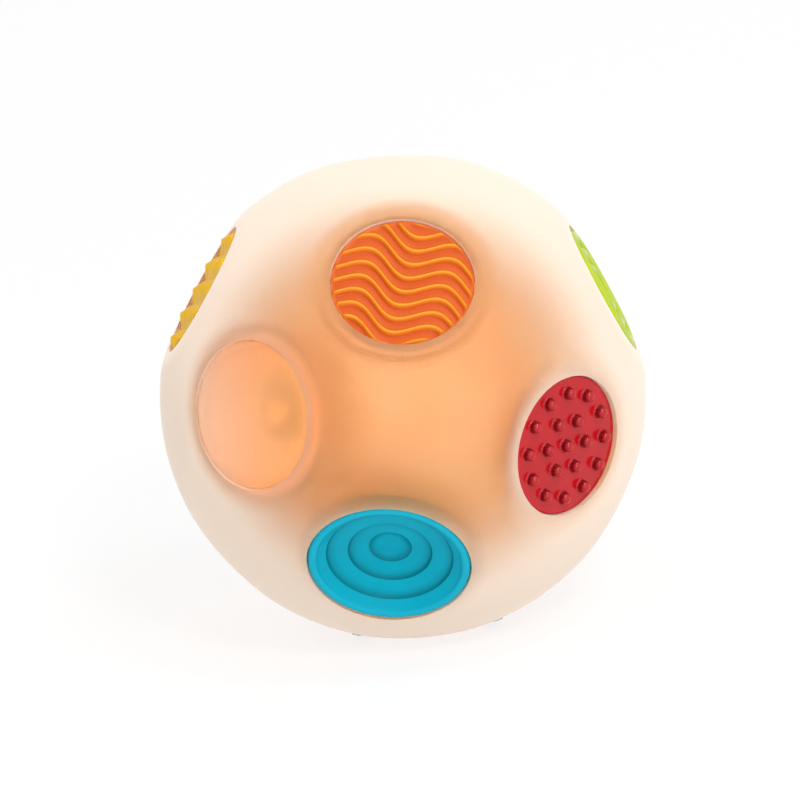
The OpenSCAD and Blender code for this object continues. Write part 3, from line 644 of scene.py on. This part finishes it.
# a copy of the body's own mesh, made even in the middle of the dishes, where its triangles meet in a point
def makeBody(dish, material):
    curve = (dish["radius"] ** 2 + dish["depth"] ** 2) / (2 * dish["depth"])
    bottoms = [facetMatrix(place) @ Vector((0, 0, -dish["depth"])) for place in dish["places"]]
    centres = [facetMatrix(place) @ Vector((0, 0, curve - dish["depth"])) for place in dish["places"]]
    bm = bmesh.new()
    bm.from_mesh(nodes["body_shell"].data)
    for bottom in bottoms:
        point = [v for v in bm.verts if (v.co - bottom).length < dish["pointSize"]]
        bmesh.ops.remove_doubles(bm, verts=point, dist=dish["pointSize"])
    mesh = bpy.data.meshes.new("body_shell_skin")
    bm.to_mesh(mesh)
    bm.free()
    normals = [n.vector.copy() for n in mesh.corner_normals]
    for bottom, centre in zip(bottoms, centres):
        for i, loop in enumerate(mesh.loops):
            spot = mesh.vertices[loop.vertex_index].co
            inward = centre - spot
            near = (spot - bottom).length < dish["radius"] * dish["middleShare"]
            if near and abs(inward.length - curve) < dish["pointSize"]:
                normals[i] = inward.normalized()
    mesh.normals_split_custom_set(normals)
    mesh.materials.append(material)
    body = bpy.data.objects.new("body_shell_skin", mesh)
    scene.collection.objects.link(body)
    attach(body, "ball")
    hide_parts("body_shell")


makeBody(plainDish, frosted)
print("body made")


def newTree(name, sizes):
    tree = bpy.data.node_groups.new(name, "GeometryNodeTree")
    tree.interface.new_socket("Geometry", in_out="OUTPUT", socket_type="NodeSocketGeometry")
    for label in sizes:
        tree.interface.new_socket(label, in_out="INPUT", socket_type="NodeSocketFloat")
    return tree, addNode(tree, "NodeGroupInput").outputs


def bakeTree(tree, sizes):
    holder = bpy.data.objects.new(tree.name, bpy.data.meshes.new(tree.name))
    scene.collection.objects.link(holder)
    modifier = holder.modifiers.new("relief", "NODES")
    modifier.node_group = tree
    for item in tree.interface.items_tree:
        if item.in_out == "INPUT":
            modifier[item.identifier] = sizes[item.name]
    graph = bpy.context.evaluated_depsgraph_get()
    mesh = bpy.data.meshes.new_from_object(holder.evaluated_get(graph))
    holder.modifiers.remove(modifier)
    bpy.data.objects.remove(holder)
    bm = bmesh.new()
    bm.from_mesh(mesh)
    return bm


# every pad is a disc in a round pocket, held by a spigot through the pocket's floor
padLook = {
    "radius": 17.2,
    "top": -1.0,
    "floor": -4.2,
    "edgeRound": 0.5,
    "footRound": 0.3,
    "spigotRadius": 3.5,
    "spigotEnd": -7.2,
    "spigotRound": 0.3,
    "sides": 128,
}
padUnder = [(padLook["radius"], padLook["floor"]), (padLook["spigotRadius"], padLook["floor"]),
    (padLook["spigotRadius"], padLook["spigotEnd"])]

wavePad = {
    "sizes": {
        "Pad radius": padLook["radius"] * mm,
        "Ridge pitch": 3.83 * mm,
        "Wave length": 19.8 * mm,
        "Wave rise": 2.4 * mm,
        "Slope": math.radians(20),
        "Lean": -0.1,
        "Shift": 0.74,
        "Ridge height": 1.0 * mm,
        "Ridge foot": 1.05 * mm,
        "Terrace depth": 0.45 * mm,
        "Edge round": 1.0 * mm,
    },
    "turnSteps": 320,
    "outSteps": 84,
    "weld": 0.004 * mm,
    "rounds": 3,
}


# a disc of wavy ridges: rows of sine waves that lean aside from row to row, with a terrace falling under each
def wavePadTree(look):
    tree, size = newTree("wavy ridges", look["sizes"])
    grid = addNode(tree, "GeometryNodeMeshGrid", {"Size X": 1.0, "Size Y": 1.0, "Vertices X": look["turnSteps"] + 1,
        "Vertices Y": look["outSteps"]})
    gridSpot = addNode(tree, "ShaderNodeSeparateXYZ", {0: addNode(tree, "GeometryNodeInputPosition").outputs[0]})
    turn = addNode(tree, "ShaderNodeMath", {0: gridSpot.outputs["X"], 1: -2 * math.pi}, operation="MULTIPLY")
    share = addNode(tree, "ShaderNodeMath", {0: gridSpot.outputs["Y"], 1: 0.5}, operation="ADD")
    out = addNode(tree, "ShaderNodeMath", {0: share.outputs[0], 1: size["Pad radius"]}, operation="MULTIPLY")
    arm = addNode(tree, "ShaderNodeCombineXYZ", {"X": out.outputs[0]})
    polar = addNode(tree, "ShaderNodeVectorRotate", {"Vector": arm.outputs[0], "Angle": turn.outputs[0]},
        rotation_type="Z_AXIS")
    disc = addNode(tree, "GeometryNodeSetPosition", {"Geometry": grid.outputs[0], "Position": polar.outputs[0]})
    joined = addNode(tree, "GeometryNodeMergeByDistance", {"Geometry": disc.outputs[0], "Distance": look["weld"]})

    spot = addNode(tree, "GeometryNodeInputPosition")
    turned = addNode(tree, "ShaderNodeVectorRotate", {"Vector": spot.outputs[0], "Angle": size["Slope"]},
        rotation_type="Z_AXIS")
    along = addNode(tree, "ShaderNodeSeparateXYZ", {0: turned.outputs[0]})
    row = along.outputs["Y"]
    for _ in range(look["rounds"]):  # each round comes closer to the row that a point lies on
        leant = addNode(tree, "ShaderNodeMath", {0: row, 1: size["Lean"]}, operation="MULTIPLY")
        back = addNode(tree, "ShaderNodeMath", {0: along.outputs["X"], 1: leant.outputs[0]}, operation="SUBTRACT")
        waves = addNode(tree, "ShaderNodeMath", {0: back.outputs[0], 1: size["Wave length"]}, operation="DIVIDE")
        moved = addNode(tree, "ShaderNodeMath", {0: waves.outputs[0], 1: size["Shift"]}, operation="ADD")
        angle = addNode(tree, "ShaderNodeMath", {0: moved.outputs[0], 1: 2 * math.pi}, operation="MULTIPLY")
        sine = addNode(tree, "ShaderNodeMath", {0: angle.outputs[0]}, operation="SINE")
        lift = addNode(tree, "ShaderNodeMath", {0: sine.outputs[0], 1: size["Wave rise"]}, operation="MULTIPLY")
        row = addNode(tree, "ShaderNodeMath", {0: along.outputs["Y"], 1: lift.outputs[0]},
            operation="SUBTRACT").outputs[0]
    count = addNode(tree, "ShaderNodeMath", {0: row, 1: size["Ridge pitch"]}, operation="DIVIDE")
    nearest = addNode(tree, "ShaderNodeMath", {0: count.outputs[0]}, operation="ROUND")
    off = addNode(tree, "ShaderNodeMath", {0: count.outputs[0], 1: nearest.outputs[0]}, operation="SUBTRACT")
    wide = addNode(tree, "ShaderNodeMath", {0: off.outputs[0]}, operation="ABSOLUTE")
    away = addNode(tree, "ShaderNodeMath", {0: wide.outputs[0], 1: size["Ridge pitch"]}, operation="MULTIPLY")
    ridge = addNode(tree, "ShaderNodeMapRange", {"Value": away.outputs[0], "From Min": size["Ridge foot"],
        "From Max": 0.0}, interpolation_type="SMOOTHSTEP")
    fallen = addNode(tree, "ShaderNodeMath", {0: count.outputs[0], 1: -1.0}, operation="MULTIPLY")
    below = addNode(tree, "ShaderNodeMath", {0: fallen.outputs[0]}, operation="FRACT")
    terrace = addNode(tree, "ShaderNodeMath", {0: 1.0, 1: below.outputs[0]}, operation="SUBTRACT")
    free = addNode(tree, "ShaderNodeMath", {0: 1.0, 1: ridge.outputs[0]}, operation="SUBTRACT")
    dip = addNode(tree, "ShaderNodeMath", {0: terrace.outputs[0], 1: free.outputs[0]}, operation="MULTIPLY")
    dipDepth = addNode(tree, "ShaderNodeMath", {0: dip.outputs[0], 1: size["Terrace depth"]}, operation="MULTIPLY")
    rise = addNode(tree, "ShaderNodeMath", {0: ridge.outputs[0], 1: size["Ridge height"]}, operation="MULTIPLY")
    relief = addNode(tree, "ShaderNodeMath", {0: rise.outputs[0], 1: dipDepth.outputs[0]}, operation="SUBTRACT")

    length = addNode(tree, "ShaderNodeVectorMath", {0: spot.outputs[0]}, operation="LENGTH")
    inward = addNode(tree, "ShaderNodeMath", {0: size["Pad radius"], 1: length.outputs["Value"]}, operation="SUBTRACT")
    kept = addNode(tree, "ShaderNodeMapRange", {"Value": inward.outputs[0], "From Min": 0.0,
        "From Max": size["Edge round"]}, interpolation_type="SMOOTHSTEP")
    held = addNode(tree, "ShaderNodeMath", {0: relief.outputs[0], 1: kept.outputs[0]}, operation="MULTIPLY")
    height = addNode(tree, "ShaderNodeCombineXYZ", {"Z": held.outputs[0]})
    formed = addNode(tree, "GeometryNodeSetPosition", {"Geometry": joined.outputs[0], "Offset": height.outputs[0]})
    # painted highlight on the ridge tops and painted shade on the terraces just under each ridge, stored on the points
    paintedLightMask = addNode(tree, "ShaderNodeMath", {0: ridge.outputs[0], 1: kept.outputs[0]}, operation="MULTIPLY")
    withPaintedHighlight = addNode(tree, "GeometryNodeStoreNamedAttribute", {"Geometry": formed.outputs[0], "Name": "relief",
        "Value": paintedLightMask.outputs[0]}, data_type="FLOAT", domain="POINT")
    under = addNode(tree, "ShaderNodeMath", {0: dip.outputs[0], 1: kept.outputs[0]}, operation="MULTIPLY")
    withPaintedShade = addNode(tree, "GeometryNodeStoreNamedAttribute", {"Geometry": withPaintedHighlight.outputs[0], "Name": "hollow",
        "Value": under.outputs[0]}, data_type="FLOAT", domain="POINT")
    real = addNode(tree, "GeometryNodeRealizeInstances", {"Geometry": withPaintedShade.outputs[0]})
    skin = addNode(tree, "GeometryNodeSetMaterial", {"Geometry": real.outputs[0], "Material": orangeRubber})
    addNode(tree, "NodeGroupOutput", {0: skin.outputs[0]})
    return tree


waveTree = wavePadTree(wavePad)
for name in ("wave_pad", "rear_wave_pad"):
    bm = bakeTree(waveTree, wavePad["sizes"])
    for v in bm.verts:
        v.co.z += padLook["top"] * mm
    closeUnder(bm, padUnder)
    finishPiece(name + "_skin", bm, name, orangeRubber)
print("wave pads made")

bowlPad = {
    "radius": 19.8,
    "floor": -9.3,
    "spigotEnd": -12.3,
    "footRound": 0.4,
    "sides": 160,
    "lips": [5.2, 10.2, 15.4],
    "shadeWidth": 1.6,
    "shadePower": 1.2,
    "rimFrom": 17.2,
    "rimFade": 0.6,
    "plainUnder": -8.5,
    "sideSkin": 0.01,
    # radius, height and rounding of the stepped hollow, from the dimple out to the rim
    "hollow": [(0, -7.7, 0), (2.6, -7.7, 0.8), (3.6, -7.0, 0), (5.2, -5.9, 0.3), (7.8, -5.5, 0), (9.75, -5.2, 0.5),
        (10.2, -4.3, 0.25), (13.0, -3.89, 0), (14.95, -3.6, 0.5), (15.4, -2.7, 0.25), (17.4, -1.2, 0.5),
        (17.7, -0.35, 0.5), (18.6, 0, 0.6), (19.5, -0.35, 0.5), (19.8, -1.2, 0.5)],
}


# painted shade, darkest under each step's lip, and a painted highlight on the paler rim; the side and the underside are
# plain
def bowlPaintedLight(r, z):
    if z < bowlPad["plainUnder"] or r > bowlPad["radius"] - bowlPad["sideSkin"]:
        return 0, 0
    under = max((1 - (lip - r) / bowlPad["shadeWidth"] for lip in bowlPad["lips"] if r <= lip), default=0)
    pale = min(max((r - bowlPad["rimFrom"]) / bowlPad["rimFade"], 0), 1)
    return pale, max(under, 0) ** bowlPad["shadePower"]


bowlProfile = roundProfile(bowlPad["hollow"] + [(bowlPad["radius"], bowlPad["floor"], bowlPad["footRound"]),
    (padLook["spigotRadius"], bowlPad["floor"], 0),
    (padLook["spigotRadius"], bowlPad["spigotEnd"], padLook["spigotRound"]), (0, bowlPad["spigotEnd"], 0)])
for name in ("bowl_pad", "rear_bowl_pad"):
    bm = spinProfile(bowlProfile, bowlPad["sides"])
    paintLightAndShade(bm, bowlPaintedLight)
    finishPiece(name + "_skin", bm, name, blueRubber)
print("bowl pads made")

padDisc = [(0, padLook["top"], 0), (padLook["radius"], padLook["top"], padLook["edgeRound"]),
    (padLook["radius"], padLook["floor"], padLook["footRound"]), (padLook["spigotRadius"], padLook["floor"], 0),
    (padLook["spigotRadius"], padLook["spigotEnd"], padLook["spigotRound"]), (0, padLook["spigotEnd"], 0)]

nubPad = {
    "sizes": {
        "Ring pitch": 6.55 * mm,
        "Pad top": padLook["top"] * mm,
    },
    "rings": (1, 2),
    "firstRing": 6,
    "radius": 1.45,
    "height": 2.45,
    "sides": 28,
    "headSteps": 8,
    # distance out from the post and height of the soft foot, which ends just inside the pad
    "foot": [(0.02, 0.5), (0.1, 0.28), (0.25, 0.12), (0.5, 0.02), (0.55, -0.1)],
    "sideShade": 0.75,
    "shadeFrom": 0.2,
}


# one nub: a short post with a round head and a soft foot, with painted shade down its side
def makeNub(look):
    r = look["radius"]
    h = look["height"]
    turns = [math.radians(90 * k / look["headSteps"]) for k in range(1, look["headSteps"] + 1)]
    head = [(r * math.sin(a), h - r + r * math.cos(a)) for a in turns]
    foot = [(r + out, up) for out, up in look["foot"]]
    bm = spinProfile([(0, h)] + head + foot + [(0, foot[-1][1])], look["sides"])

    def paintedSideShade(out, up):
        return 0, look["sideShade"] * min(max((h - up) / r, 0), 1) if up > look["shadeFrom"] else 0

    paintLightAndShade(bm, paintedSideShade)
    mesh = bpy.data.meshes.new("nub")
    bm.to_mesh(mesh)
    bm.free()
    return bpy.data.objects.new("nub", mesh)


# nubs in the middle and on two rings round it
def nubPadTree(look, nub):
    tree, size = newTree("rows of nubs", look["sizes"])
    spots = addNode(tree, "GeometryNodeJoinGeometry")
    middle = addNode(tree, "GeometryNodeMeshLine", {"Count": 1})
    tree.links.new(middle.outputs[0], spots.inputs[0])
    for ring in look["rings"]:
        out = addNode(tree, "ShaderNodeMath", {0: size["Ring pitch"], 1: float(ring)}, operation="MULTIPLY")
        circle = addNode(tree, "GeometryNodeMeshCircle", {"Vertices": look["firstRing"] * ring,
            "Radius": out.outputs[0]})
        tree.links.new(circle.outputs[0], spots.inputs[0])
    one = addNode(tree, "GeometryNodeObjectInfo", {"Object": nub, "As Instance": True})
    placed = addNode(tree, "GeometryNodeInstanceOnPoints", {"Points": spots.outputs[0],
        "Instance": one.outputs["Geometry"]})
    lift = addNode(tree, "ShaderNodeCombineXYZ", {"Z": size["Pad top"]})
    raised = addNode(tree, "GeometryNodeSetPosition", {"Geometry": placed.outputs[0], "Offset": lift.outputs[0]})
    real = addNode(tree, "GeometryNodeRealizeInstances", {"Geometry": raised.outputs[0]})
    skin = addNode(tree, "GeometryNodeSetMaterial", {"Geometry": real.outputs[0], "Material": redRubber})
    addNode(tree, "NodeGroupOutput", {0: skin.outputs[0]})
    return tree


nubForm = makeNub(nubPad)
nubTree = nubPadTree(nubPad, nubForm)
for name in ("nub_pad", "rear_nub_pad"):
    bm = bakeTree(nubTree, nubPad["sizes"])
    base = spinProfile(roundProfile(padDisc), padLook["sides"])
    baseMesh = bpy.data.meshes.new("base")
    base.to_mesh(baseMesh)
    base.free()
    bm.from_mesh(baseMesh)
    finishPiece(name + "_skin", bm, name, redRubber)
bpy.data.objects.remove(nubForm)
print("nub pads made")

pyramidPad = {
    "sizes": {
        "Pitch": 6.8 * mm,
        "Height": 2.0 * mm,
        "Pad top": padLook["top"] * mm,
    },
    "rows": 7,
    "weld": 0.01 * mm,
    "creaseDegrees": 20,
    "creaseRound": 0.16 * mm,
    "fieldRadius": 16.2 * mm,
    "rimSides": 72,
    "cutSlack": 1e-7,
    "ledgeDrop": 0.02,
    # distance in from the side and drop of the disc's soft edge
    "edge": [(0.5, 0.02), (0.15, 0.15), (0, 0.5)],
    "sharpDegrees": 50,
}


# a square field of four-sided pyramids, larger than the pad
def pyramidPadTree(look):
    tree, size = newTree("field of pyramids", look["sizes"])
    span = addNode(tree, "ShaderNodeMath", {0: size["Pitch"], 1: float(look["rows"] - 1)}, operation="MULTIPLY")
    spots = addNode(tree, "GeometryNodeMeshGrid", {"Size X": span.outputs[0], "Size Y": span.outputs[0],
        "Vertices X": look["rows"], "Vertices Y": look["rows"]})
    half = addNode(tree, "ShaderNodeMath", {0: size["Pitch"], 1: math.sqrt(0.5)}, operation="MULTIPLY")
    one = addNode(tree, "GeometryNodeMeshCone", {"Vertices": 4, "Radius Top": 0.0, "Radius Bottom": half.outputs[0],
        "Depth": size["Height"]}, fill_type="NONE")
    placed = addNode(tree, "GeometryNodeInstanceOnPoints", {"Points": spots.outputs[0],
        "Instance": one.outputs["Mesh"], "Rotation": (0, 0, math.pi / 4)})
    lift = addNode(tree, "ShaderNodeCombineXYZ", {"Z": size["Pad top"]})
    raised = addNode(tree, "GeometryNodeSetPosition", {"Geometry": placed.outputs[0], "Offset": lift.outputs[0]})
    real = addNode(tree, "GeometryNodeRealizeInstances", {"Geometry": raised.outputs[0]})
    skin = addNode(tree, "GeometryNodeSetMaterial", {"Geometry": real.outputs[0], "Material": yellowRubber})
    addNode(tree, "NodeGroupOutput", {0: skin.outputs[0]})
    return tree


bm = bakeTree(pyramidPadTree(pyramidPad), pyramidPad["sizes"])
bmesh.ops.remove_doubles(bm, verts=bm.verts, dist=pyramidPad["weld"])
creaseAngle = math.radians(pyramidPad["creaseDegrees"])
creases = [e for e in bm.edges if len(e.link_faces) == 2 and e.calc_face_angle() > creaseAngle]
bmesh.ops.bevel(bm, geom=creases, offset=pyramidPad["creaseRound"], segments=2, profile=0.5, affect="EDGES")
for k in range(pyramidPad["rimSides"]):  # cut to the pad's round outline
    a = 2 * math.pi * k / pyramidPad["rimSides"]
    out = Vector((math.cos(a), math.sin(a), 0))
    bmesh.ops.bisect_plane(bm, geom=list(bm.verts) + list(bm.edges) + list(bm.faces), dist=pyramidPad["cutSlack"],
        plane_co=out * pyramidPad["fieldRadius"], plane_no=out, clear_outer=True)
pyramidEdge = [(padLook["radius"] - aside, padLook["top"] - drop) for aside, drop in pyramidPad["edge"]]
closeUnder(bm, [(None, padLook["top"] - pyramidPad["ledgeDrop"])] + pyramidEdge + padUnder)
finishPiece("pyramid_pad_skin", bm, "pyramid_pad", yellowRubber, sharpDegrees=pyramidPad["sharpDegrees"])
print("pyramid pad made")

ringPad = {
    "ridges": [5.4, 10.0, 14.6],
    "ridgeRadius": 1.5,
    "ridgeSteps": 12,
    "foot": 0.45,
    "footRound": 0.5,
    "sides": 160,
}


# half-round ridges with soft feet, round the pad's middle
def ringProfile(look):
    top = padLook["top"]
    corners = [(0, top, 0)]
    r = look["ridgeRadius"]
    for middle in look["ridges"]:
        corners.append((middle - r - look["foot"], top, look["footRound"]))
        for k in range(1, look["ridgeSteps"]):
            a = math.pi * (1 - k / look["ridgeSteps"])
            corners.append((middle + r * math.cos(a), top + r * math.sin(a), 0))
        corners.append((middle + r + look["foot"], top, look["footRound"]))
    return roundProfile(corners + padDisc[1:])


finishPiece("ring_pad_skin", spinProfile(ringProfile(ringPad), ringPad["sides"]), "ring_pad", limeRubber)
print("ring pad made")

# the button's haze grows across it, away from the light core, as the photo shows it
# painted light: the button's inner side keeps more orange glow and its outer side more pale haze, set by position, and
# its own glow is painted glow
buttonPlastic = frostedPlastic(dict(shellLook, finish="frosted button plastic", hazeAcross=(-1, 0, 0.1),
    hazeFrom=27 * mm, hazeTo=84 * mm, paintedGlow="#FFA050", paintedGlowStrength=0.2))

buttonLook = {
    "radius": 17.8,
    "top": -0.4,
    "rim": 1.7,
    "dishDepth": 4.0,
    "wall": 2.0,
    "lipRadius": 19.5,
    "lipTop": -2.7,
    "lipUnder": -4.6,
    "under": -6.4,
    "postRadius": 3.0,
    "postEnd": -8.4,
    "dishRound": 0.45,
    "rimRound": 0.4,
    "lipRound": 0.2,
    "postRound": 0.3,
    "dishSteps": 24,
    "underSteps": 12,
    "sides": 160,
}


# dished button with a soft rim, a lip that keeps it in its bore and a post that presses the switch
def buttonProfile(look):
    edge = look["radius"] - look["rim"]
    dish = (edge ** 2 + look["dishDepth"] ** 2) / (2 * look["dishDepth"])
    middle = look["top"] - look["dishDepth"] + dish
    steps = look["dishSteps"]
    corners = [(edge * k / steps, middle - math.sqrt(dish ** 2 - (edge * k / steps) ** 2), 0) for k in range(steps)]
    inner = look["radius"] - look["wall"]
    under = dish + look["wall"]
    corners += [(edge, look["top"], look["dishRound"]), (look["radius"], look["top"], look["rimRound"]),
        (look["radius"], look["lipTop"], 0), (look["lipRadius"], look["lipTop"], look["lipRound"]),
        (look["lipRadius"], look["lipUnder"], look["lipRound"]), (look["radius"], look["lipUnder"], 0),
        (look["radius"], look["under"], look["lipRound"]), (inner, look["under"], look["lipRound"])]
    for k in range(look["underSteps"] + 1):
        r = inner + (look["postRadius"] - inner) * k / look["underSteps"]
        corners.append((r, middle - math.sqrt(under ** 2 - r ** 2), 0))
    corners += [(look["postRadius"], look["postEnd"], look["postRound"]), (0, look["postEnd"], 0)]
    return roundProfile(corners)


buttonForm = spinProfile(buttonProfile(buttonLook), buttonLook["sides"])
finishPiece("light_button_skin", buttonForm, "light_button", buttonPlastic, body="button")
print("button made")
